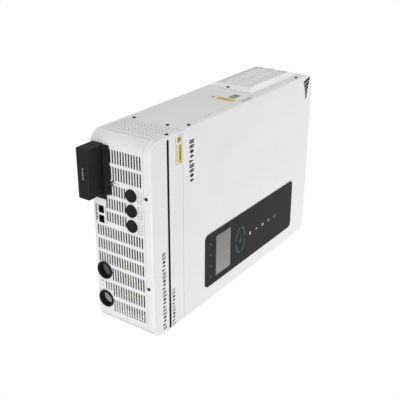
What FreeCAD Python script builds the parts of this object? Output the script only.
import FreeCAD, Part
import math
import os

from FreeCAD import Vector

# Wall-hung hybrid solar inverter, upright as it hangs on its wall.
# Millimetres.  +Z is up, +X is the viewer's right and -Y is the front.
# The origin is the middle of the rear face that rests on the wall.

# ---------------------------------------------------------------- driving sizes
WIDTH = 360.0
HEIGHT = 545.0
DEPTH = 126.0
CORNER_R = 24.0
SHEET = 1.5
COVER_DEPTH = 15.6          # how far the front covers' rims reach back
COVER_EDGE_R = 3.2          # outer bend of the front covers
SEAM = 0.6                  # gap between a cover rim and the body sides
LIP_INSET = 0.3             # clearance between a cover rim and the lip behind it
END_SEAM_Z = 251.0          # height of the joint between end panels and sides
END_SEAM_GAP = 1.1
COVER_SPLIT_Z = -187.0      # joint between the wiring cover and the main cover
COVER_SPLIT_GAP = 1.0
STRIPE_Z = -228.0
STRIPE_H = 5.6
FAN_SIZE = 80.0
FAN_DEPTH = 25.0
FAN_Y = -52.5
FAN_ZS = (112.0, 197.0)
SCREW_HEAD_R = 2.8
SCREW_HEAD_H = 1.7
SCREW_SHANK_R = 1.5
RUN = 0.05                  # radial running clearance of a shaft in its bush
FIT = 0.15                  # gap left between neighbouring parts

HALF_W = WIDTH / 2
HALF_H = HEIGHT / 2
FRONT = -DEPTH
RIM_Y = FRONT + COVER_DEPTH
WALL_IN = HALF_W - SHEET
LIP_OUT = WALL_IN - LIP_INSET
LIP_IN = LIP_OUT - SHEET
X_AXIS = Vector(1, 0, 0)
Y_AXIS = Vector(0, 1, 0)
Z_AXIS = Vector(0, 0, 1)

# Lips behind the cover rims, and the joint tabs of the end panels
LIP_FRONT_Y = FRONT + 3.0
TAB_REACH = 9.0
TAB_OVERLAP = 2.0
TAB_Y = (-104.0, -5.0)
FLANGE_DEPTH = 9.0          # return flange of a cover along the joint
FLANGE_END_DEPTH = 2.4      # its depth beside the body lips
PRY_NOTCH_Z = (-103.5, -86.0)
PRY_NOTCH_DEPTH = 1.6

# Vent lattice low on both sides, and the air outlet on the right side
VENT_ROWS = 7
VENT_COLUMNS = 13
VENT_R = 1.7
VENT_START = (-11.2, -237.0)
VENT_STEP = (7.3, 7.8)
OUTLET_ROWS = 4
OUTLET_COLUMNS = 13
OUTLET_START = (-98.0, 66.0)
OUTLET_STEP = (7.0, 45.0)
OUTLET_LENGTH = 38.0
OUTLET_WIDTH = 3.2

# Wall fixings in the rear sheet
WALL_X = 120.0
KEYHOLE_Z = 215.0
WALL_HOLE_Z = -215.0
WALL_HOLE_R = 3.5
KEYHOLE_HEAD_R = 7.0
KEYHOLE_DROP = 14.0

# Display strip
GLASS_X = (40.2, 149.8)
GLASS_Z = (-121.5, 208.0)
GLASS_R = 10.0
GLASS_T = 1.2
LCD_X = (52.8, 139.4)
LCD_Z = (-86.8, -32.4)
LCD_BEZEL = 3.0
LCD_MODULE_T = 5.5
TOUCH_XS = (62.5, 85.3, 108.1, 130.9)
TOUCH_Z = -105.0
TOUCH_PAD_R = 3.4

# Connector face
SLOT_PITCH = 5.7
SLOT_W = 3.3
SLOT_FRONT_Y = -104.2
SLOT_ROWS = (               # left end, length, number of slots, columns skipped at the front
    (-157.0, 24.4, 12, 0),
    (-127.4, 24.4, 12, 0),
    (-94.3, 19.8, 6, 6),
    (-68.8, 19.8, 8, 6),
    (-43.6, 19.8, 8, 6),
    (-14.0, 20.4, 18, 0),
    (12.3, 20.4, 18, 0),
    (38.4, 20.4, 18, 0),
    (65.0, 24.6, 13, 0),
    (95.7, 25.2, 13, 0),
    (95.9, 16.0, 3, 13),
    (127.3, 25.2, 13, 0),
)
GLAND_XS = (-85.1, -57.7, -30.3)
GLAND_Y = -84.3
GLAND_R = 11.2
GLAND_H = 2.6
BATTERY_XS = (73.8, 131.3)
BATTERY_Y = -17.8
BATTERY_RING_R = 16.4
BATTERY_NECK_R = 14.3
BATTERY_BORE_R = 12.8
BATTERY_RING_H = 3.4        # proud of the sheet
BATTERY_TUBE = 7.0          # sleeve behind the sheet
JACK_XS = (-43.6, -25.4)
JACK_Y = (-22.4, -10.4)
JACK_W = 14.0
JACK_MOUTH = (5.9, 1.4, 8.2, 13.0)   # half width, front and rear edge, depth
JACK_LATCH_HALF_W = 3.0
JACK_LENGTH = 19.0
CONTACT_COUNT = 8
CONTACT_PITCH = 1.02
GROUND_XY = (-97.7, -47.4)
GROUND_HEAD_R = 4.2
GROUND_HEAD_H = 2.6
GROUND_SHANK_R = 2.5
GROUND_WASHER_R = 5.6

# Wireless module on the connector face
MODULE_X = (-164.0, -75.5)
MODULE_Y = (-28.5, -4.5)
MODULE_LENGTH = 38.5
MODULE_EAR_T = 2.6
MODULE_EAR_Y = -41.0
MODULE_SIDE_EAR_X = -65.5
MODULE_WALL = 2.0
MODULE_SCREWS = ((-152.0, -35.5), (-87.0, -35.5))
MODULE_SCREW_R = 1.6
PLUG_WIDTH = 28.0
PLUG_Y = (-18.6, -11.4)

# Filter cover on the left side
FILTER_Y = (-103.0, -2.5)
FILTER_Z = (64.5, 243.0)
FILTER_RISE = 7.0
FILTER_BEVEL = 11.5
FILTER_WALL = 1.8
FILTER_BAR = 4.0
FILTER_SKIRT = 1.6          # upright edge below the bevel
FILTER_TAB_Y = -47.5
FILTER_TAB_INSET = 3.5
FILTER_PAD_H = 3.2
FILTER_PAD_R = 5.6
FILTER_WELL_R = 4.6

# Fans
GUARD_RINGS = ((9.0, 15.0), (17.5, 23.5), (26.0, 32.0), (34.5, 38.5))
GUARD_SPOKE = 3.2
FAN_HOLE_OFFSET = 35.75
FAN_HUB_R = 17.0
FAN_BLADE_R = 36.4
FAN_BLADES = 7
FAN_BLADE_ANGLE = 42.0
FAN_SHAFT_R = 1.5
ROTOR_LENGTH = 18.0

# Rim screws of the covers, and body screws into the bay shelf
RIM_SCREW_Y = -116.0
WIRING_RIM_SCREW_Z = -216.8
MAIN_RIM_SCREW_ZS = (-156.8, 219.0)
BOTTOM_RIM_SCREW_XS = (-86.8, 79.7)
TOP_RIM_SCREW_XS = (-83.0, 83.0)
SHELF_SCREWS = ((-16.4, -178.0), (-88.0, -178.0))

# Wiring bay
SHELF_Z = -186.4
SHELF_T = 1.2
SHELF_FRONT_Y = -106.0
SHELF_FLANGE_TOP = -171.0
SHELF_OPENINGS = (           # x and y ranges of the cable passages
    (-120.0, 50.0, -66.0, -40.0),
    (62.0, 149.0, -30.0, -11.0),
    (-165.0, -125.0, -40.0, -12.0),
    (70.0, 160.0, -100.0, -76.0),
)
BOARD_T = 1.6
TERMINAL_BOARD_X = (-116.0, 48.0)
TERMINAL_BOARD_Y = -46.0
TERMINAL_BOARD_Z = (-244.0, -161.0)
TERMINAL_POSTS = ((-110.0, -198.0), (-110.0, -168.0), (42.0, -238.0), (42.0, -168.0))
TERMINAL_BLOCKS = ((-108.0, 6, 15.0), (-8.0, 4, 13.0))   # left end, poles, pitch
BLOCK_Y = (-68.0, -46.1)
BLOCK_Z = (-226.0, -202.0)
CLAMP_Z = -218.0
WIRE_R = 1.9
WIRE_Y = -56.0
WIRE_BEND_R = 9.0
WIRE_TOP_Z = -152.0
BAR_HALF_W = 11.0
BAR_Y = (-24.0, -21.0)
BAR_Z = (-236.0, -118.0)
STUD_Z = -222.0
STUD_R = 4.0
STUD_HEAD_R = 7.5
STUD_FRONT_Y = -44.0
INSULATOR_Z = (-238.0, -206.0)
TRAY_X = (50.0, 168.0)
TRAY_Y = (-72.0, -34.0)
TRAY_Z = (-238.4, -236.0)
EMI_XS = (68.0, 103.0, 138.0)
EMI_Y = -53.0
EMI_RING_R = 11.0
EMI_WINDING_R = 5.6

# Electronics bay
MAIN_BOARD_Y = -72.0
MAIN_BOARD_X = (-148.0, 168.0)
MAIN_BOARD_Z = (-165.0, 244.0)
MAIN_POSTS = ((-140.0, -130.0), (5.0, -155.0), (160.0, -130.0), (-140.0, 50.0), (5.0, 50.0), (160.0, 50.0),
              (5.0, 238.0))
CONTROL_BOARD_X = (-140.0, -4.0)
CONTROL_BOARD_Y = -104.0
CONTROL_BOARD_Z = (70.0, 236.0)
CONTROL_POSTS = ((-134.0, 76.0), (-10.0, 76.0), (-134.0, 230.0), (-10.0, 230.0))
COMM_BOARD_X = (-160.0, -15.0)
COMM_BOARD_Y = -9.4
COMM_BOARD_Z = (-266.0, -206.0)
POST_R = 3.5
POST_SCREW_R = 1.7
SINK_Y = (-60.0, -8.0)
SINK_Z = (76.0, 234.0)
SINK_BASE = 8.0
SINK_FIN = 2.4
SINK_FINS = 15
SINKS_X = ((-140.0, -6.0), (16.0, 150.0))
PACKAGE_ROWS = (108.0, 188.0)
PACKAGES_PER_ROW = 6
PACKAGE = (16.0, 5.1, 21.0)          # width, thickness, height
CAP_R = 15.0
CAP_H = 38.0
CAP_XS = (35.0, 70.0, 105.0, 140.0)
CAP_ZS = (98.0, 136.0, 174.0, 212.0)
TRANSFORMERS = ((-105.0, 8.0), (-28.0, 8.0))
CORE = (64.0, 38.0, 54.0)            # width, depth, height
CORE_YOKE = 10.0
CORE_WINDOW = (9.0, 20.0)            # from the middle to the inner and outer leg
WINDING_HEIGHT = 72.0
BOOST_XS = (-115.0, -45.0, 45.0, 115.0)
BOOST_Z = -40.0
BOOST_RING_R = 19.5
BOOST_WINDING_R = 11.0
RELAY = (28.0, 26.0, 22.0)
RELAY_START = (-132.0, -140.0)
RELAY_STEP = (34.0, 42.0)
RELAY_GRID = (4, 2)
FILM_XS = (30.0, 70.0, 110.0)
FILM_CAP = (32.0, 30.0, 42.0)
FILM_Z = -30.0

PARTS = {}


# ---------------------------------------------------------------- small helpers
def box(x0, x1, y0, y1, z0, z1):
    return Part.makeBox(x1 - x0, y1 - y0, z1 - z0, Vector(x0, y0, z0))


def rod(base, axis, radius, length):
    return Part.makeCylinder(radius, length, Vector(*base), axis)


def tube(base, axis, outer, inner, length):
    return rod(base, axis, outer, length).cut(rod(base, axis, inner, length))


def joined(shapes):
    first = shapes[0]
    if len(shapes) == 1:
        return first
    return first.fuse(shapes[1:]).removeSplitter()


def group(shapes):
    return Part.makeCompound(shapes)


def slab(x0, x1, z0, z1, y0, y1, radii=(0, 0, 0, 0)):
    """Plate parallel to the wall; radii at bottom left, bottom right, top right, top left."""
    corners = ((x0, z0, 1, 1), (x1, z0, -1, 1), (x1, z1, -1, -1), (x0, z1, 1, -1))
    starts = []
    edges = []
    for index, (x, z, sx, sz) in enumerate(corners):
        r = radii[index]
        along_x = Vector(x + sx * r, y0, z)
        along_z = Vector(x, y0, z + sz * r)
        middle = Vector(x + sx * r * (1 - math.sqrt(0.5)), y0, z + sz * r * (1 - math.sqrt(0.5)))
        first, last = (along_z, along_x) if index % 2 == 0 else (along_x, along_z)
        starts.append((first, middle, last, r))
    for index, (first, middle, last, r) in enumerate(starts):
        if r > 0:
            edges.append(Part.Arc(first, middle, last).toShape())
        following = starts[(index + 1) % 4][0]
        edges.append(Part.makeLine(last, following))
    face = Part.Face(Part.Wire(edges))
    return face.extrude(Vector(0, y1 - y0, 0))


def all_round(radius):
    return (radius, radius, radius, radius)


def slot_along_x(x0, length, y, width, z0, z1):
    r = width / 2
    bar = box(x0 + r, x0 + length - r, y - r, y + r, z0, z1)
    ends = [rod((x, y, z0), Z_AXIS, r, z1 - z0) for x in (x0 + r, x0 + length - r)]
    return joined([bar] + ends)


def slot_along_z(x0, x1, y, z0, length, width):
    r = width / 2
    bar = box(x0, x1, y - r, y + r, z0 + r, z0 + length - r)
    ends = [rod((x0, y, z), X_AXIS, r, x1 - x0) for z in (z0 + r, z0 + length - r)]
    return joined([bar] + ends)


def pan_screw(seat, outward, shank_length):
    """Low-head cross-recess screw: seat is where the head's underside rests."""
    seat = Vector(*seat)
    outward = Vector(*outward)
    head = Part.makeCylinder(SCREW_HEAD_R, SCREW_HEAD_H, seat, outward)
    rim = []
    for edge in head.Edges:
        height = (edge.CenterOfMass - seat).dot(outward)
        if edge.Closed and height > SCREW_HEAD_H * 0.9:
            rim.append(edge)
    head = head.makeFillet(SCREW_HEAD_H * 0.5, rim)
    shank = Part.makeCylinder(SCREW_SHANK_R, shank_length, seat - outward * shank_length, outward)
    top = seat + outward * SCREW_HEAD_H
    across = Vector(outward.y, outward.z, outward.x)
    over = outward.cross(across)
    recess = []
    for u, v in ((across, over), (over, across)):
        corner = top - u * 2.1 - v * 0.45 - outward
        recess.append(oriented_box(corner, u * 4.2, v * 0.9, outward * 1.2))
    return head.fuse(shank).cut(joined(recess))


def oriented_box(corner, u, v, w):
    points = [corner, corner + u, corner + u + v, corner + v, corner]
    return Part.Face(Part.makePolygon(points)).extrude(w)


def shell_band(radial_out, radial_in, y0, y1, z_limit, top):
    """U-shaped end sheet: the top or bottom end of a rounded rectangular band."""
    outer_r = CORNER_R - (HALF_W - radial_out)
    inner_r = CORNER_R - (HALF_W - radial_in)
    drop = HALF_W - radial_out
    drop_in = HALF_W - radial_in
    outer = slab(-radial_out, radial_out, -HALF_H + drop, HALF_H - drop, y0, y1, all_round(outer_r))
    inner = slab(-radial_in, radial_in, -HALF_H + drop_in, HALF_H - drop_in, y0, y1, all_round(inner_r))
    band = outer.cut(inner)
    if top:
        keep = box(-WIDTH, WIDTH, -2 * DEPTH, DEPTH, z_limit, HEIGHT)
    else:
        keep = box(-WIDTH, WIDTH, -2 * DEPTH, DEPTH, -HEIGHT, -z_limit)
    return band.common(keep)


# ---------------------------------------------------------------- casing
def keyhole(x, z):
    """Head hole below, narrow slot above it for the screw's neck."""
    depth = SHEET + 2
    head = rod((x, -depth + 1, z - KEYHOLE_DROP), Y_AXIS, KEYHOLE_HEAD_R, depth)
    neck = rod((x, -depth + 1, z), Y_AXIS, WALL_HOLE_R, depth)
    throat = box(x - WALL_HOLE_R, x + WALL_HOLE_R, -depth + 1, 1, z - KEYHOLE_DROP, z)
    return joined([head, neck, throat])


def finger_guard(z):
    """Ring-shaped openings punched in the side sheet in front of one fan."""
    rings = []
    for inner, outer in GUARD_RINGS:
        rings.append(tube((-HALF_W - 1, FAN_Y, z), X_AXIS, outer, inner, SHEET + 2))
    spokes = []
    half = GUARD_SPOKE / 2
    for angle in (45, 135):
        spoke = box(-HALF_W - 2, -HALF_W + 4, FAN_Y - FAN_SIZE, FAN_Y + FAN_SIZE, z - half, z + half)
        spoke.rotate(Vector(0, FAN_Y, z), X_AXIS, angle)
        spokes.append(spoke)
    return group(rings).cut(joined(spokes))


def perforations(side):
    """Lattice of small vent holes low on one side."""
    holes = []
    for row in range(VENT_ROWS):
        for column in range(VENT_COLUMNS):
            y = VENT_START[0] - column * VENT_STEP[0]
            z = VENT_START[1] + row * VENT_STEP[1]
            holes.append(rod((side * HALF_W - 3, y, z), X_AXIS, VENT_R, 6))
    return holes


def outlet_slots():
    """Exhaust slots on the right side, level with the fans."""
    slots = []
    for row in range(OUTLET_ROWS):
        for column in range(OUTLET_COLUMNS):
            y = OUTLET_START[0] + column * OUTLET_STEP[0]
            z = OUTLET_START[1] + row * OUTLET_STEP[1]
            slots.append(slot_along_z(WALL_IN - 1, HALF_W + 1, y, z, OUTLET_LENGTH, OUTLET_WIDTH))
    return slots


def fan_screw_places(z):
    offset = FAN_HOLE_OFFSET
    return [(FAN_Y + sy * offset, z + sz * offset) for sy in (-1, 1) for sz in (-1, 1)]


def rear_chassis():
    back = slab(-HALF_W, HALF_W, -HALF_H, HALF_H, -SHEET, 0, all_round(CORNER_R))
    pieces = [back]
    wall_z = END_SEAM_Z - END_SEAM_GAP / 2
    for side in (-1, 1):
        low, high = sorted((side * HALF_W, side * WALL_IN))
        pieces.append(box(low, high, RIM_Y + SEAM, -SHEET / 2, -wall_z, wall_z))
        low, high = sorted((side * WALL_IN, side * LIP_IN))
        pieces.append(box(low, high, RIM_Y + SEAM, RIM_Y + SEAM + SHEET, -wall_z, wall_z))
        low, high = sorted((side * LIP_OUT, side * LIP_IN))
        pieces.append(box(low, high, LIP_FRONT_Y, RIM_Y + SEAM + SHEET, -wall_z, wall_z))
    body = joined(pieces)
    tools = perforations(-1) + perforations(1) + outlet_slots()
    for z in FAN_ZS:
        tools.append(finger_guard(z))
        for y, hole_z in fan_screw_places(z):
            tools.append(rod((-HALF_W - 1, y, hole_z), X_AXIS, 2.2, 4))
    for x in (-WALL_X, WALL_X):
        tools.append(keyhole(x, KEYHOLE_Z))
        tools.append(rod((x, -SHEET - 1, WALL_HOLE_Z), Y_AXIS, WALL_HOLE_R, SHEET + 2))
    for side in (-1, 1):
        start = -HALF_W - 1 if side < 0 else LIP_IN - 1
        for y, z in SHELF_SCREWS:
            tools.append(rod((start, y, z), X_AXIS, SCREW_SHANK_R + RUN, 6))
        for z in (WIRING_RIM_SCREW_Z,) + MAIN_RIM_SCREW_ZS:
            tools.append(rod((start, RIM_SCREW_Y, z), X_AXIS, SCREW_SHANK_R + RUN, 6))
    for z in filter_tab_zs():
        tools.append(rod((-HALF_W - 1, FILTER_TAB_Y, z), X_AXIS, SCREW_SHANK_R + RUN, 4))
    return body.cut(tools)


def end_panel(top):
    z_limit = END_SEAM_Z + END_SEAM_GAP / 2
    outer = shell_band(HALF_W, WALL_IN, RIM_Y + SEAM, -SHEET - 0.1, z_limit, top)
    step = shell_band(HALF_W - SHEET / 2, LIP_IN, RIM_Y + SEAM, RIM_Y + SEAM + SHEET, z_limit, top)
    lip = shell_band(LIP_OUT, LIP_IN, LIP_FRONT_Y, RIM_Y + SEAM + SHEET, z_limit, top)
    sign = 1 if top else -1
    tabs = []
    for side in (-1, 1):
        # joint tabs behind the side sheets, jogged inwards where they leave the end sheet
        low, high = sorted((side * (WALL_IN - FIT), side * (WALL_IN - FIT - SHEET)))
        z0, z1 = sorted((sign * (END_SEAM_Z - TAB_REACH), sign * (z_limit + TAB_OVERLAP)))
        tabs.append(box(low, high, TAB_Y[0], TAB_Y[1], z0, z1))
        low, high = sorted((side * (WALL_IN + SHEET / 2), side * (WALL_IN - FIT - SHEET)))
        z0, z1 = sorted((sign * z_limit, sign * (z_limit + TAB_OVERLAP)))
        tabs.append(box(low, high, TAB_Y[0], TAB_Y[1], z0, z1))
    return joined([outer, step, lip] + tabs)


def connector_panel():
    panel = end_panel(False)
    z0 = -HALF_H - 1
    z1 = -HALF_H + SHEET + 1
    tools = []
    for left, length, count, skipped in SLOT_ROWS:
        for column in range(count):
            y = SLOT_FRONT_Y + (column + skipped) * SLOT_PITCH
            tools.append(slot_along_x(left, length, y, SLOT_W, z0, z1))
    for x in GLAND_XS:
        tools.append(rod((x, GLAND_Y, z0), Z_AXIS, GLAND_R - 2.5, z1 - z0))
    for x in BATTERY_XS:
        tools.append(rod((x, BATTERY_Y, z0), Z_AXIS, BATTERY_NECK_R + 0.1, z1 - z0))
    for x in JACK_XS:
        tools.append(box(x - JACK_W / 2, x + JACK_W / 2, JACK_Y[0], JACK_Y[1], z0, z1))
    middle = sum(MODULE_X) / 2
    port = PLUG_WIDTH / 2 + 3
    tools.append(box(middle - port, middle + port, PLUG_Y[0] - 2.4, PLUG_Y[1] + 2.4, z0, z1))
    tools.append(rod((GROUND_XY[0], GROUND_XY[1], z0), Z_AXIS, GROUND_SHANK_R + RUN, z1 - z0))
    for x, y in MODULE_SCREWS:
        tools.append(rod((x, y, z0), Z_AXIS, MODULE_SCREW_R + RUN, z1 - z0))
    for x in BOTTOM_RIM_SCREW_XS:
        tools.append(rod((x, RIM_SCREW_Y, -HALF_H - 1), Z_AXIS, SCREW_SHANK_R + RUN, 6))
    return panel.cut(tools)


def top_panel():
    tools = []
    for x in TOP_RIM_SCREW_XS:
        tools.append(rod((x, RIM_SCREW_Y, HALF_H - 5), Z_AXIS, SCREW_SHANK_R + RUN, 6))
    return end_panel(True).cut(tools)


def front_edges(shape, y):
    """Edges that lie wholly in the plane at this depth."""
    return [e for e in shape.Edges if abs(e.BoundBox.YMin - y) < 0.01 and abs(e.BoundBox.YMax - y) < 0.01]


def off_joint(edges, z):
    """The given edges without the straight one along the joint at height z."""
    return [e for e in edges if abs(e.BoundBox.ZMin - z) > 0.01 or abs(e.BoundBox.ZMax - z) > 0.01]


def cover_tray(z0, z1, radii, joint_low):
    """Shallow tray with bent front edges; the joint side has a short return flange."""
    joint_z = z0 if joint_low else z1
    inward = SHEET if joint_low else -SHEET
    outer = slab(-HALF_W, HALF_W, z0, z1, FRONT, RIM_Y, radii)
    outer = outer.makeFillet(COVER_EDGE_R, off_joint(front_edges(outer, FRONT), joint_z))
    inner_radii = tuple(max(r - SHEET, 0) for r in radii)
    inner = slab(-WALL_IN, WALL_IN, z0 + SHEET, z1 - SHEET, FRONT + SHEET, RIM_Y + 1, inner_radii)
    bends = off_joint(front_edges(inner, FRONT + SHEET), joint_z + inward)
    tray = outer.cut(inner.makeFillet(COVER_EDGE_R - SHEET, bends))
    # shorten the return flange, and clear its ends for the body lips
    low, high = sorted((joint_z - inward, joint_z + inward * 1.01))
    trim = [box(-WALL_IN, WALL_IN, FRONT + FLANGE_DEPTH, RIM_Y + 1, low, high)]
    for side in (-1, 1):
        a, b = sorted((side * (LIP_IN - 2), side * WALL_IN))
        trim.append(box(a, b, FRONT + FLANGE_END_DEPTH, RIM_Y + 1, low, high))
    return tray.cut(trim)


def front_cover():
    z0 = COVER_SPLIT_Z + COVER_SPLIT_GAP / 2
    cover = cover_tray(z0, HALF_H, (0, 0, CORNER_R, CORNER_R), True)
    tools = [slab(LCD_X[0] - 4, LCD_X[1] + 4, GLASS_Z[0] + 8, GLASS_Z[1] - 30, FRONT - 1, FRONT + SHEET + 1)]
    for side in (-1, 1):
        start = -HALF_W - 1 if side < 0 else WALL_IN - 1
        for z in MAIN_RIM_SCREW_ZS:
            tools.append(rod((start, RIM_SCREW_Y, z), X_AXIS, SCREW_SHANK_R + 0.2, 4))
    for x in TOP_RIM_SCREW_XS:
        tools.append(rod((x, RIM_SCREW_Y, HALF_H - 3), Z_AXIS, SCREW_SHANK_R + 0.2, 4))
    # pry notch in the left rim
    tools.append(box(-HALF_W - 1, -WALL_IN + 1, RIM_Y - PRY_NOTCH_DEPTH, RIM_Y + 1, *PRY_NOTCH_Z))
    return cover.cut(tools)


def wiring_cover():
    z1 = COVER_SPLIT_Z - COVER_SPLIT_GAP / 2
    cover = cover_tray(-HALF_H, z1, (CORNER_R, CORNER_R, 0, 0), False)
    groove_x = HALF_W - COVER_EDGE_R
    half = STRIPE_H / 2
    tools = [slab(-groove_x, groove_x, STRIPE_Z - half, STRIPE_Z + half, FRONT - 1, FRONT + 0.8,
                  all_round(half - 0.01))]
    # open notches let the rim slide off the screws towards the front
    notch = SCREW_SHANK_R + 0.3
    for side in (-1, 1):
        start = -HALF_W - 1 if side < 0 else WALL_IN - 1
        z = WIRING_RIM_SCREW_Z
        tools.append(rod((start, RIM_SCREW_Y, z), X_AXIS, notch, 4))
        tools.append(box(start, start + 4, RIM_SCREW_Y, RIM_Y + 1, z - notch, z + notch))
    for x in BOTTOM_RIM_SCREW_XS:
        tools.append(rod((x, RIM_SCREW_Y, -HALF_H - 1), Z_AXIS, notch, 4))
        tools.append(box(x - notch, x + notch, RIM_SCREW_Y, RIM_Y + 1, -HALF_H - 1, -HALF_H + 3))
    return cover.cut(tools)


def accent_strip():
    groove_x = HALF_W - COVER_EDGE_R - 0.1
    half = STRIPE_H / 2 - 0.1
    return slab(-groove_x, groove_x, STRIPE_Z - half, STRIPE_Z + half, FRONT - 0.15, FRONT + 0.75,
                all_round(half - 0.01))


# ---------------------------------------------------------------- display
def display_glass():
    glass = slab(GLASS_X[0], GLASS_X[1], GLASS_Z[0], GLASS_Z[1], FRONT - GLASS_T, FRONT, all_round(GLASS_R))
    return glass.makeFillet(0.4, front_edges(glass, FRONT - GLASS_T))


def lcd_module():
    edge = LCD_BEZEL
    bezel = box(LCD_X[0] - edge, LCD_X[1] + edge, FRONT + FIT, FRONT + LCD_MODULE_T,
                LCD_Z[0] - edge, LCD_Z[1] + edge)
    window = box(LCD_X[0], LCD_X[1], FRONT, FRONT + 1.0, LCD_Z[0], LCD_Z[1])
    return bezel.cut(window)


def lcd_screen():
    return box(LCD_X[0] + FIT, LCD_X[1] - FIT, FRONT + 0.3, FRONT + 0.9, LCD_Z[0] + FIT, LCD_Z[1] - FIT)


def display_board():
    y0 = FRONT + LCD_MODULE_T + FIT
    return box(LCD_X[0] - LCD_BEZEL, LCD_X[1] + LCD_BEZEL, y0, y0 + BOARD_T, GLASS_Z[0] + 10, GLASS_Z[1] - 34)


def touch_pads():
    """Sprung contact posts that sense a finger through the glass."""
    length = LCD_MODULE_T - FIT / 2
    return group([rod((x, FRONT + FIT, TOUCH_Z), Y_AXIS, TOUCH_PAD_R, length) for x in TOUCH_XS])


# ---------------------------------------------------------------- filter cover and fans
def filter_ring(level, y_inset, z_inset):
    """Closed outline of the filter cover at one height above the side sheet."""
    x = -HALF_W - level
    y0, y1 = FILTER_Y[0] + y_inset, FILTER_Y[1] - y_inset
    z0, z1 = FILTER_Z[0] + z_inset, FILTER_Z[1] - z_inset
    points = [Vector(x, y0, z0), Vector(x, y1, z0), Vector(x, y1, z1), Vector(x, y0, z1)]
    return Part.makePolygon(points + points[:1])


def filter_windows():
    span0 = FILTER_Y[0] + FILTER_BEVEL + 1.5
    span1 = FILTER_Y[1] - FILTER_BEVEL + 1.0
    width = (span1 - span0 - 2 * FILTER_BAR) / 3
    return [(span0 + n * (width + FILTER_BAR), span0 + n * (width + FILTER_BAR) + width) for n in range(3)]


def filter_tab_zs():
    return (FILTER_Z[0] + FILTER_TAB_INSET, FILTER_Z[1] - FILTER_TAB_INSET)


def filter_cover():
    rise = FILTER_RISE
    skirt = FILTER_SKIRT
    outer = Part.makeLoft([filter_ring(0, 0, 0), filter_ring(skirt, 0, 0)], True, True)
    crest = filter_ring(rise, FILTER_BEVEL, FILTER_BEVEL)
    bevel = Part.makeLoft([filter_ring(skirt, 0, 0), crest], True, True)
    wall = FILTER_WALL
    slope = FILTER_BEVEL * (rise - wall - skirt) / (rise - skirt)
    inset = 2 * wall
    hollow = Part.makeLoft([filter_ring(-1, inset, inset), filter_ring(0.4, inset, inset)], True, True)
    roof_top = filter_ring(rise - wall, slope + inset, slope + inset)
    roof = Part.makeLoft([filter_ring(0.4, inset, inset), roof_top], True, True)
    cover = joined([outer, bevel])
    tools = [hollow, roof]
    z0 = FILTER_Z[0] + FILTER_BEVEL + 2.0
    z1 = FILTER_Z[1] - FILTER_BEVEL - 2.0
    for y0, y1 in filter_windows():
        tools.append(box(-HALF_W - rise - 1, -HALF_W - rise + wall + 1, y0, y1, z0, z1))
    cover = cover.cut(tools)
    for z in filter_tab_zs():
        pad = rod((-HALF_W - FILTER_PAD_H, FILTER_TAB_Y, z), X_AXIS, FILTER_PAD_R, FILTER_PAD_H)
        well = rod((-HALF_W - rise - 1, FILTER_TAB_Y, z), X_AXIS, FILTER_WELL_R, rise + 1 - FILTER_PAD_H)
        hole = rod((-HALF_W - rise - 1, FILTER_TAB_Y, z), X_AXIS, SCREW_SHANK_R + 0.2, rise + 3)
        cover = cover.fuse(pad).cut([well, hole])
    return cover.removeSplitter()


def filter_mesh():
    """Fine woven steel screen clipped under the windows."""
    inset = FILTER_BEVEL + 0.2
    x0 = -HALF_W - FILTER_RISE + FILTER_WALL + 0.1
    return box(x0, x0 + 0.6, FILTER_Y[0] + inset, FILTER_Y[1] - inset, FILTER_Z[0] + inset, FILTER_Z[1] - inset)


def filter_foam():
    inset = FILTER_BEVEL + 0.2
    x0 = -HALF_W - FILTER_RISE + FILTER_WALL + 0.9
    x1 = -HALF_W - SCREW_HEAD_H - 0.2
    return box(x0, x1, FILTER_Y[0] + inset, FILTER_Y[1] - inset, FILTER_Z[0] + inset, FILTER_Z[1] - inset)


def filter_screws():
    screws = []
    for z in filter_tab_zs():
        screws.append(pan_screw((-HALF_W - FILTER_PAD_H - 0.1, FILTER_TAB_Y, z), (-1, 0, 0), 6.5))
    return group(screws)


def fan_frame(z):
    x0 = -WALL_IN + 0.1
    half = FAN_SIZE / 2
    frame = box(x0, x0 + FAN_DEPTH, FAN_Y - half, FAN_Y + half, z - half, z + half)
    frame = frame.makeFillet(4.0, [e for e in frame.Edges if e.BoundBox.XLength > FAN_DEPTH - 0.1])
    tools = [rod((x0 - 1, FAN_Y, z), X_AXIS, half - 2.0, FAN_DEPTH + 2)]
    for y, hole_z in fan_screw_places(z):
        tools.append(rod((x0 - 1, y, hole_z), X_AXIS, 2.15, FAN_DEPTH + 2))
    frame = frame.cut(tools)
    back = x0 + FAN_DEPTH - 3.0
    spider = [rod((back, FAN_Y, z), X_AXIS, 16.0, 3.0)]
    for angle in (45, 135, 225, 315):
        arm = box(back, back + 2.6, FAN_Y - 2.2, FAN_Y + 2.2, z + 10, z + half - 1)
        arm.rotate(Vector(0, FAN_Y, z), X_AXIS, angle)
        spider.append(arm)
    bush = rod((back - 6, FAN_Y, z), X_AXIS, 4.0, 6.5)
    body = joined([frame, bush] + spider)
    return body.cut(rod((back - 8, FAN_Y, z), X_AXIS, FAN_SHAFT_R + RUN, 10.0))


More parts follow.
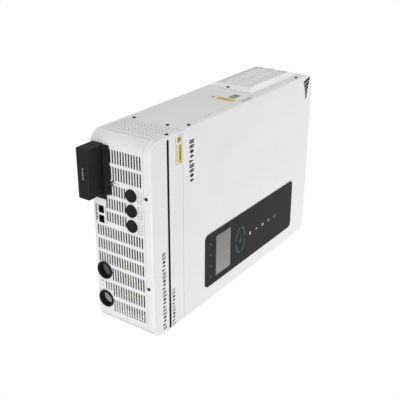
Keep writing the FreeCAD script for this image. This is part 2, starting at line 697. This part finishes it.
def fan_rotor(z):
    x0 = -WALL_IN + 2.2
    length = ROTOR_LENGTH
    hub = rod((x0, FAN_Y, z), X_AXIS, FAN_HUB_R, length)
    hub = hub.makeFillet(1.8, [e for e in hub.Edges if e.Closed and abs(e.CenterOfMass.x - x0) < 0.1])
    hollow = rod((x0 + 2.2, FAN_Y, z), X_AXIS, FAN_HUB_R - 1.8, length)
    hub = hub.cut(hollow)
    shaft = rod((x0 + 1.0, FAN_Y, z), X_AXIS, FAN_SHAFT_R, length + 2.0)
    blades = []
    for n in range(FAN_BLADES):
        blade = box(-13.5, 13.5, -0.9, 0.9, FAN_HUB_R - 1.0, FAN_SIZE / 2)
        blade.rotate(Vector(0, 0, 0), Z_AXIS, FAN_BLADE_ANGLE)
        blade.translate(Vector(x0 + length / 2, FAN_Y, z))
        blade.rotate(Vector(0, FAN_Y, z), X_AXIS, n * 360.0 / FAN_BLADES)
        blades.append(blade)
    envelope = tube((x0 + 2.0, FAN_Y, z), X_AXIS, FAN_BLADE_R, FAN_HUB_R - 0.6, length - 2.5)
    wings = [blade.common(envelope) for blade in blades]
    return joined([hub, shaft] + wings)


def fan_screws():
    screws = []
    for z in FAN_ZS:
        for y, hole_z in fan_screw_places(z):
            screws.append(pan_screw((-HALF_W, y, hole_z), (-1, 0, 0), 9.0))
    return group(screws)


def side_baffle():
    """Duct sheet that carries the fans' air over the heat sinks."""
    z = FILTER_Z[0] - 1.5
    return box(-WALL_IN + FIT, WALL_IN - FIT, MAIN_BOARD_Y + 3.0, -SHEET - FIT, z - SHEET, z)


# ---------------------------------------------------------------- wireless module
def wifi_module_shell():
    z0 = -HALF_H - MODULE_LENGTH
    shell = box(MODULE_X[0], MODULE_X[1], MODULE_Y[0], MODULE_Y[1], z0, -HALF_H - FIT)
    upright = [e for e in shell.Edges if e.BoundBox.ZLength > MODULE_LENGTH - 1]
    shell = shell.makeFillet(2.4, upright)
    end = [e for e in shell.Edges if e.BoundBox.ZMax < z0 + 0.1]
    shell = shell.makeFillet(1.0, end)
    wall = MODULE_WALL
    return shell.cut(box(MODULE_X[0] + wall, MODULE_X[1] - wall, MODULE_Y[0] + wall, MODULE_Y[1] - wall,
                         z0 + wall, -HALF_H))


def wifi_module_ears():
    """Mounting plate of the wireless module, with its front and side ears."""
    z0 = -HALF_H - MODULE_EAR_T
    plate = box(MODULE_X[0] + 1.5, MODULE_X[1], MODULE_EAR_Y, MODULE_Y[0] - FIT, z0, -HALF_H - FIT)
    corners = [e for e in plate.Edges if e.BoundBox.ZLength > 1 and e.BoundBox.YMax < MODULE_EAR_Y + 0.1]
    plate = plate.makeFillet(3.0, corners)
    side = box(MODULE_X[1] + FIT, MODULE_SIDE_EAR_X, MODULE_Y[0] - 1.0, -12.5, z0, -HALF_H - FIT)
    link = box(MODULE_X[1] - 4, MODULE_SIDE_EAR_X, MODULE_Y[0] - 3.0, MODULE_Y[0] - FIT, z0, -HALF_H - FIT)
    plate = joined([plate, side, link])
    holes = [rod((x, y, z0 - 1), Z_AXIS, MODULE_SCREW_R + FIT, 5) for x, y in MODULE_SCREWS]
    return plate.cut(holes)


def wifi_module_board():
    middle = sum(MODULE_Y) / 2
    z0 = -HALF_H - MODULE_LENGTH + 3.5
    board = box(MODULE_X[0] + 4, MODULE_X[1] - 4, middle - 0.8, middle + 0.8, z0, -HALF_H - 3.0)
    chips = []
    for x, size in ((-148.0, 16.0), (-118.0, 11.0), (-96.0, 8.0)):
        chips.append(box(x - size / 2, x + size / 2, middle - 3.4, middle - 0.7, z0 + 5, z0 + 5 + size))
    return joined([board] + chips)


def wifi_module_plug():
    middle = sum(MODULE_X) / 2
    half = PLUG_WIDTH / 2
    return box(middle - half, middle + half, PLUG_Y[0], PLUG_Y[1], -HALF_H - 2.7, -HALF_H + 9.0)


def wifi_socket():
    middle = sum(MODULE_X) / 2
    z0 = -HALF_H + SHEET + 0.3
    half = PLUG_WIDTH / 2
    socket = box(middle - half - 2, middle + half + 2, PLUG_Y[0] - 1.8, PLUG_Y[1] + 1.8, z0, z0 + 13.0)
    hollow = box(middle - half - 0.2, middle + half + 0.2, PLUG_Y[0] - 0.2, PLUG_Y[1] + 0.2, z0 - 1, z0 + 8.6)
    return socket.cut(hollow)


def wifi_module_screws():
    z = -HALF_H - MODULE_EAR_T
    return group([small_screw(x, y, z) for x, y in MODULE_SCREWS])


def small_screw(x, y, z):
    """M3 screw driven upwards into the connector panel."""
    head = rod((x, y, z - 1.6), Z_AXIS, 2.8, 1.6)
    shank = rod((x, y, z - 0.2), Z_AXIS, MODULE_SCREW_R, 6.0)
    return joined([head, shank]).cut(rod((x, y, z - 1.7), Z_AXIS, 1.1, 1.0))


# ---------------------------------------------------------------- connector face fittings
def rj45_jacks():
    jacks = []
    for x in JACK_XS:
        half = JACK_W / 2 - FIT
        low, high = JACK_Y
        z = -HALF_H
        body = box(x - half, x + half, low + FIT, high - FIT, z + 0.1, z + JACK_LENGTH)
        wide, front, rear, depth = JACK_MOUTH
        mouth = box(x - wide, x + wide, low + front, low + rear, z, z + depth)
        narrow = JACK_LATCH_HALF_W
        latch = box(x - narrow, x + narrow, low + rear - 0.2, high - 1.2, z, z + depth)
        jacks.append(body.cut([mouth, latch]))
    return group(jacks)


def jack_contacts():
    contacts = []
    for x in JACK_XS:
        for n in range(CONTACT_COUNT):
            place = x + (n - (CONTACT_COUNT - 1) / 2) * CONTACT_PITCH
            y0 = JACK_Y[0] + JACK_MOUTH[1] + RUN
            contacts.append(box(place - 0.2, place + 0.2, y0, y0 + 1.1, -HALF_H + 2.0, -HALF_H + 12.5))
    return group(contacts)


def comm_board():
    return box(*COMM_BOARD_X, COMM_BOARD_Y, COMM_BOARD_Y + BOARD_T, *COMM_BOARD_Z)


def grommet_flange(x, y, radius, height):
    """Outer flange of a rubber grommet, rounded round its rim."""
    low = -HALF_H - height
    flange = rod((x, y, low), Z_AXIS, radius, height)
    rim = [e for e in flange.Edges if e.Closed and e.CenterOfMass.z < low + 0.1]
    return flange.makeFillet(min(height, 2.4) * 0.8, rim)


def closed_grommet(x):
    """Blind rubber grommet: dished flange, neck through the sheet, flange inside."""
    z = -HALF_H
    neck = rod((x, GLAND_Y, z - 0.1), Z_AXIS, GLAND_R - 2.6, SHEET + 0.2)
    inside = rod((x, GLAND_Y, z + SHEET + 0.05), Z_AXIS, GLAND_R - 0.5, 2.0)
    body = joined([grommet_flange(x, GLAND_Y, GLAND_R, GLAND_H), neck, inside])
    dish = rod((x, GLAND_Y, z - GLAND_H - 1), Z_AXIS, GLAND_R - 2.6, 1.9)
    cavity = rod((x, GLAND_Y, z - GLAND_H + 2.2), Z_AXIS, GLAND_R - 3.8, 20)
    return body.cut([dish, cavity])


def closed_grommets():
    return group([closed_grommet(x) for x in GLAND_XS])


def battery_grommet(x):
    """Open rubber ring with a sleeve that guides a cable into the wiring bay."""
    z = -HALF_H
    neck = rod((x, BATTERY_Y, z - 0.1), Z_AXIS, BATTERY_NECK_R, SHEET + BATTERY_TUBE)
    inside = rod((x, BATTERY_Y, z + SHEET + 0.05), Z_AXIS, BATTERY_NECK_R + 1.2, 2.0)
    body = joined([grommet_flange(x, BATTERY_Y, BATTERY_RING_R, BATTERY_RING_H), neck, inside])
    return body.cut(rod((x, BATTERY_Y, z - BATTERY_RING_H - 1), Z_AXIS, BATTERY_BORE_R, 30))


def battery_grommets():
    return group([battery_grommet(x) for x in BATTERY_XS])


def ground_washer():
    x, y = GROUND_XY
    return tube((x, y, -HALF_H - 1.1), Z_AXIS, GROUND_WASHER_R, GROUND_SHANK_R + 0.1, 1.0)


def ground_screw():
    x, y = GROUND_XY
    top = -HALF_H - 1.2 - GROUND_HEAD_H
    head = rod((x, y, top), Z_AXIS, GROUND_HEAD_R, GROUND_HEAD_H)
    head = head.makeFillet(0.8, [e for e in head.Edges if e.Closed and e.CenterOfMass.z < top + 0.1])
    shank = rod((x, y, -HALF_H - 1.3), Z_AXIS, GROUND_SHANK_R, 12.0)
    cross = [box(x - 2.4, x + 2.4, y - 0.5, y + 0.5, top - 0.2, top + 1.1),
             box(x - 0.5, x + 0.5, y - 2.4, y + 2.4, top - 0.2, top + 1.1)]
    return joined([head, shank]).cut(joined(cross))


def wiring_cover_screws():
    screws = []
    for side in (-1, 1):
        screws.append(pan_screw((side * (HALF_W + 0.1), RIM_SCREW_Y, WIRING_RIM_SCREW_Z), (side, 0, 0), 7.0))
    for x in BOTTOM_RIM_SCREW_XS:
        screws.append(pan_screw((x, RIM_SCREW_Y, -HALF_H - 0.1), (0, 0, -1), 7.0))
    return group(screws)


def front_cover_screws():
    screws = []
    for side in (-1, 1):
        for z in MAIN_RIM_SCREW_ZS:
            screws.append(pan_screw((side * (HALF_W + 0.05), RIM_SCREW_Y, z), (side, 0, 0), 7.0))
    for x in TOP_RIM_SCREW_XS:
        screws.append(pan_screw((x, RIM_SCREW_Y, HALF_H + 0.05), (0, 0, 1), 7.0))
    return group(screws)


def shelf_screws():
    screws = []
    for side in (-1, 1):
        for y, z in SHELF_SCREWS:
            screws.append(pan_screw((side * (HALF_W + 0.05), y, z), (side, 0, 0), 6.0))
    return group(screws)


# ---------------------------------------------------------------- wiring bay
def bay_shelf():
    """Sheet between the wiring bay and the electronics, screwed to both sides."""
    edge = WALL_IN - 0.1
    sheet = box(-edge, edge, SHELF_FRONT_Y, -SHEET - FIT, SHELF_Z, SHELF_Z + SHELF_T)
    flanges = []
    for side in (-1, 1):
        low, high = sorted((side * edge, side * (edge - SHELF_T)))
        flanges.append(box(low, high, SHELF_FRONT_Y, -SHEET - FIT, SHELF_Z, SHELF_FLANGE_TOP))
    shelf = joined([sheet] + flanges)
    tools = []
    for side in (-1, 1):
        start = -edge - 1 if side < 0 else edge - 3
        for y, z in SHELF_SCREWS:
            tools.append(rod((start, y, z), X_AXIS, SCREW_SHANK_R + RUN, 4))
    for x0, x1, y0, y1 in SHELF_OPENINGS:
        tools.append(box(x0, x1, y0, y1, SHELF_Z - 1, SHELF_Z + SHELF_T + 1))
    return shelf.cut(tools)


def terminal_board():
    return box(*TERMINAL_BOARD_X, TERMINAL_BOARD_Y, TERMINAL_BOARD_Y + BOARD_T, *TERMINAL_BOARD_Z)


def terminal_block(x0, poles, pitch):
    """Barrier block with wire entries below and clamp screw wells in front."""
    length = poles * pitch
    front, rear = BLOCK_Y
    z0, z1 = BLOCK_Z
    block = box(x0, x0 + length, front, rear, z0, z1)
    block = block.cut(box(x0 - 1, x0 + length + 1, front - 1, front + 7, z1 - 6, z1 + 1))
    tools = []
    for n in range(poles):
        middle = x0 + (n + 0.5) * pitch
        tools.append(box(middle - pitch * 0.36, middle + pitch * 0.36, front + 5, rear - 6, z0 - 1, z0 + 14))
        tools.append(rod((middle, front - 1, CLAMP_Z), Y_AXIS, pitch * 0.3, 6.5))
    return block.cut(tools)


def ac_terminal_block():
    return terminal_block(*TERMINAL_BLOCKS[0])


def pv_terminal_block():
    return terminal_block(*TERMINAL_BLOCKS[1])


def bay_wire(x):
    """Wire from a terminal up through the shelf and forward to the main board."""
    start = Vector(x, WIRE_Y, BLOCK_Z[1] + 0.1)
    bend = WIRE_BEND_R * (1 - math.sqrt(0.5))
    rise_end = Vector(x, WIRE_Y, WIRE_TOP_Z - WIRE_BEND_R)
    bend_middle = Vector(x, WIRE_Y - bend, WIRE_TOP_Z - bend)
    run_start = Vector(x, WIRE_Y - WIRE_BEND_R, WIRE_TOP_Z)
    run_end = Vector(x, MAIN_BOARD_Y + BOARD_T + 0.1, WIRE_TOP_Z)
    corner = Part.Arc(rise_end, bend_middle, run_start).toShape()
    path = Part.Wire([Part.makeLine(start, rise_end), corner, Part.makeLine(run_start, run_end)])
    section = Part.Wire(Part.makeCircle(WIRE_R, start, Z_AXIS))
    return path.makePipeShell([section], True, False)


def bay_wires():
    wires = []
    for x0, poles, pitch in TERMINAL_BLOCKS:
        for n in range(poles):
            wires.append(bay_wire(x0 + (n + 0.5) * pitch))
    return group(wires)


def clamp_screws():
    screws = []
    for x0, poles, pitch in TERMINAL_BLOCKS:
        for n in range(poles):
            middle = x0 + (n + 0.5) * pitch
            head_y = BLOCK_Y[0] + 1.2
            screw = rod((middle, head_y, CLAMP_Z), Y_AXIS, pitch * 0.3 - 0.4, 3.6)
            slot = box(middle - 6, middle + 6, head_y - 0.2, head_y + 0.8, CLAMP_Z - 0.5, CLAMP_Z + 0.5)
            screws.append(screw.cut(slot))
    return group(screws)


def battery_busbar(x):
    """Copper bar from the battery stud up through the shelf, bent forward to the main board."""
    bar = box(x - BAR_HALF_W, x + BAR_HALF_W, *BAR_Y, *BAR_Z)
    thickness = BAR_Y[1] - BAR_Y[0]
    across = [e for e in bar.Edges if e.BoundBox.YLength > thickness - 0.1]
    low_corners = [e for e in across if e.BoundBox.ZMax < BAR_Z[0] + 1]
    bar = bar.makeFillet(4.0, low_corners)
    foot_y = MAIN_BOARD_Y + BOARD_T + RUN
    foot = box(x - BAR_HALF_W, x + BAR_HALF_W, foot_y, BAR_Y[1], BAR_Z[1] - thickness, BAR_Z[1])
    hole = rod((x, BAR_Y[0] - 1, STUD_Z), Y_AXIS, STUD_R + RUN, thickness + 2)
    return joined([bar, foot]).cut(hole)


def battery_busbars():
    return group([battery_busbar(x) for x in BATTERY_XS])


def battery_stud(x):
    """M8 stud through the busbar, its head captive in the insulator."""
    head_y = BAR_Y[1] + 0.3
    hexagon = []
    for n in range(7):
        angle = math.radians(60 * n)
        across = STUD_HEAD_R * math.cos(angle)
        hexagon.append(Vector(x + across, head_y, STUD_Z + STUD_HEAD_R * math.sin(angle)))
    head = Part.Face(Part.makePolygon(hexagon)).extrude(Vector(0, 5.3, 0))
    shank = rod((x, STUD_FRONT_Y, STUD_Z), Y_AXIS, STUD_R, head_y + 0.2 - STUD_FRONT_Y)
    return joined([head, shank])


def battery_studs():
    return group([battery_stud(x) for x in BATTERY_XS])


def stud_blocks():
    """Moulded insulators that hold the bars off the rear sheet."""
    blocks = []
    for x in BATTERY_XS:
        block = box(x - 14, x + 14, BAR_Y[1] + 0.1, -SHEET - FIT, *INSULATOR_Z)
        pocket = rod((x, BAR_Y[1] - 0.5, STUD_Z), Y_AXIS, STUD_HEAD_R + 0.8, 10.0)
        blocks.append(block.cut(pocket))
    return group(blocks)


def emi_chokes():
    """Wound ring cores under the tray, wrapped in yellow tape."""
    z = TRAY_Z[0] - RUN - EMI_WINDING_R
    return group([Part.makeTorus(EMI_RING_R, EMI_WINDING_R, Vector(x, EMI_Y, z), Z_AXIS) for x in EMI_XS])


def choke_tray():
    """Angle sheet that hangs from the shelf and carries the chokes."""
    tray = box(*TRAY_X, *TRAY_Y, *TRAY_Z)
    wall = box(*TRAY_X, TRAY_Y[0], TRAY_Y[0] + TRAY_Z[1] - TRAY_Z[0], TRAY_Z[0], SHELF_Z - 0.1)
    return joined([tray, wall])


# ---------------------------------------------------------------- electronics
def main_board():
    board = box(*MAIN_BOARD_X, MAIN_BOARD_Y, MAIN_BOARD_Y + BOARD_T, *MAIN_BOARD_Z)
    return board.cut([rod((x, MAIN_BOARD_Y - 1, z), Y_AXIS, POST_SCREW_R, 4) for x, z in MAIN_POSTS])


def board_standoffs():
    """Spacers behind the main, terminal and control boards."""
    posts = []
    for board_y, rear_y, places in ((MAIN_BOARD_Y, -SHEET, MAIN_POSTS),
                                    (TERMINAL_BOARD_Y, -SHEET, TERMINAL_POSTS),
                                    (CONTROL_BOARD_Y, MAIN_BOARD_Y, CONTROL_POSTS)):
        start = board_y + BOARD_T + RUN
        for x, z in places:
            posts.append(rod((x, start, z), Y_AXIS, POST_R, rear_y - RUN - start))
    return group(posts)


def heat_sink(x0, x1):
    """Extrusion with fins towards the wall; the outer two fins rest on the rear sheet."""
    base = box(x0, x1, SINK_Y[0], SINK_Y[0] + SINK_BASE, *SINK_Z)
    fins = []
    pitch = (SINK_Z[1] - SINK_Z[0] - SINK_FIN) / (SINK_FINS - 1)
    for n in range(SINK_FINS):
        z = SINK_Z[0] + n * pitch
        tip = -SHEET - FIT if n in (0, SINK_FINS - 1) else SINK_Y[1]
        fins.append(box(x0, x1, SINK_Y[0] + SINK_BASE - 0.1, tip, z, z + SINK_FIN))
    return joined([base] + fins)


def power_transistors():
    """Flat power packages along both heat sinks, between the sinks and the board."""
    packages = []
    width, thick, tall = PACKAGE
    lead_y = MAIN_BOARD_Y + BOARD_T + 0.1
    for x0, x1 in SINKS_X:
        for row_z in PACKAGE_ROWS:
            for n in range(PACKAGES_PER_ROW):
                x = x0 + 14 + n * (x1 - x0 - 28) / (PACKAGES_PER_ROW - 1)
                rear = SINK_Y[0] - 0.1
                body = box(x - width / 2, x + width / 2, rear - thick, rear, row_z, row_z + tall)
                legs = box(x - 6, x + 6, lead_y, rear - 3.0, row_z - 4, row_z - 2.8)
                link = box(x - 6, x + 6, rear - 4.2, rear - 3.0, row_z - 4, row_z + 1)
                packages.append(joined([body, legs, link]))
    return group(packages)


def bus_capacitors():
    cans = []
    front = MAIN_BOARD_Y - 0.1 - CAP_H
    for x in CAP_XS:
        for z in CAP_ZS:
            can = rod((x, front, z), Y_AXIS, CAP_R, CAP_H)
            rim = [e for e in can.Edges if e.Closed and e.CenterOfMass.y < front + 1]
            cans.append(can.makeFillet(1.5, rim))
    return group(cans)


def control_board():
    return box(*CONTROL_BOARD_X, CONTROL_BOARD_Y, CONTROL_BOARD_Y + BOARD_T, *CONTROL_BOARD_Z)


def transformer_core(x, z):
    """Double E-core: three legs between two yokes."""
    width, depth, height = CORE
    rear = MAIN_BOARD_Y - 0.1
    front = rear - depth
    core = box(x - width / 2, x + width / 2, front, rear, z - height / 2, z + height / 2)
    near, far = CORE_WINDOW
    for low, high in ((-far, -near), (near, far)):
        window = box(x + low, x + high, front + CORE_YOKE, rear - CORE_YOKE, z - height, z + height)
        core = core.cut(window)
    return core


def transformer_winding(x, z):
    """Taped coil round the middle leg."""
    rear = MAIN_BOARD_Y - 0.1
    far = CORE_WINDOW[1] - 0.2
    front = rear - CORE[1] + CORE_YOKE + 0.2
    coil = box(x - far, x + far, front, rear - CORE_YOKE - 0.2, z - WINDING_HEIGHT / 2, z + WINDING_HEIGHT / 2)
    return coil.cut(transformer_core(x, z))


def transformer_cores():
    return group([transformer_core(x, z) for x, z in TRANSFORMERS])


def transformer_windings():
    return group([transformer_winding(x, z) for x, z in TRANSFORMERS])


def boost_chokes():
    """Ring chokes of the solar and output stages, flat on the rear sheet."""
    y = -SHEET - FIT - BOOST_WINDING_R
    middles = [Vector(x, y, BOOST_Z) for x in BOOST_XS]
    return group([Part.makeTorus(BOOST_RING_R, BOOST_WINDING_R, middle, Y_AXIS) for middle in middles])


def relays():
    cases = []
    width, depth, height = RELAY
    for row in range(RELAY_GRID[1]):
        for column in range(RELAY_GRID[0]):
            x = RELAY_START[0] + column * RELAY_STEP[0]
            z = RELAY_START[1] + row * RELAY_STEP[1]
            case = box(x, x + width, MAIN_BOARD_Y - 0.1 - depth, MAIN_BOARD_Y - 0.1, z, z + height)
            cases.append(case.makeFillet(1.0, [e for e in case.Edges if e.BoundBox.YLength > depth - 1]))
    return group(cases)


def film_capacitors():
    width, depth, height = FILM_CAP
    rear = MAIN_BOARD_Y - 0.1
    return group([box(x, x + width, rear - depth, rear, FILM_Z, FILM_Z + height) for x in FILM_XS])


def build():
    PARTS.update({
        "rear_chassis": rear_chassis(),
        "connector_panel": connector_panel(),
        "top_panel": top_panel(),
        "front_cover": front_cover(),
        "wiring_cover": wiring_cover(),
        "accent_strip": accent_strip(),
        "display_glass": display_glass(),
        "lcd_module": lcd_module(),
        "lcd_screen": lcd_screen(),
        "display_board": display_board(),
        "touch_pads": touch_pads(),
        "filter_cover": filter_cover(),
        "filter_mesh": filter_mesh(),
        "filter_foam": filter_foam(),
        "filter_screws": filter_screws(),
        "fan_frame_lower": fan_frame(FAN_ZS[0]),
        "fan_frame_upper": fan_frame(FAN_ZS[1]),
        "fan_rotor_lower": fan_rotor(FAN_ZS[0]),
        "fan_rotor_upper": fan_rotor(FAN_ZS[1]),
        "fan_screws": fan_screws(),
        "side_baffle": side_baffle(),
        "wifi_module_shell": wifi_module_shell(),
        "wifi_module_ears": wifi_module_ears(),
        "wifi_module_board": wifi_module_board(),
        "wifi_module_plug": wifi_module_plug(),
        "wifi_module_screws": wifi_module_screws(),
        "wifi_socket": wifi_socket(),
        "rj45_jacks": rj45_jacks(),
        "jack_contacts": jack_contacts(),
        "comm_board": comm_board(),
        "closed_grommets": closed_grommets(),
        "battery_grommets": battery_grommets(),
        "ground_screw": ground_screw(),
        "ground_washer": ground_washer(),
        "wiring_cover_screws": wiring_cover_screws(),
        "front_cover_screws": front_cover_screws(),
        "shelf_screws": shelf_screws(),
        "bay_shelf": bay_shelf(),
        "terminal_board": terminal_board(),
        "bay_wires": bay_wires(),
        "ac_terminal_block": ac_terminal_block(),
        "pv_terminal_block": pv_terminal_block(),
        "clamp_screws": clamp_screws(),
        "battery_busbars": battery_busbars(),
        "battery_studs": battery_studs(),
        "stud_blocks": stud_blocks(),
        "emi_chokes": emi_chokes(),
        "choke_tray": choke_tray(),
        "main_board": main_board(),
        "board_standoffs": board_standoffs(),
        "inverter_heat_sink": heat_sink(*SINKS_X[0]),
        "charger_heat_sink": heat_sink(*SINKS_X[1]),
        "power_transistors": power_transistors(),
        "bus_capacitors": bus_capacitors(),
        "control_board": control_board(),
        "transformer_cores": transformer_cores(),
        "transformer_windings": transformer_windings(),
        "boost_chokes": boost_chokes(),
        "relays": relays(),
        "film_capacitors": film_capacitors(),
    })


build()
os.makedirs("parts", exist_ok=True)
for name, shape in PARTS.items():
    shape.exportStep("parts/" + name + ".step")
    print(name, len(shape.Solids), shape.isValid())
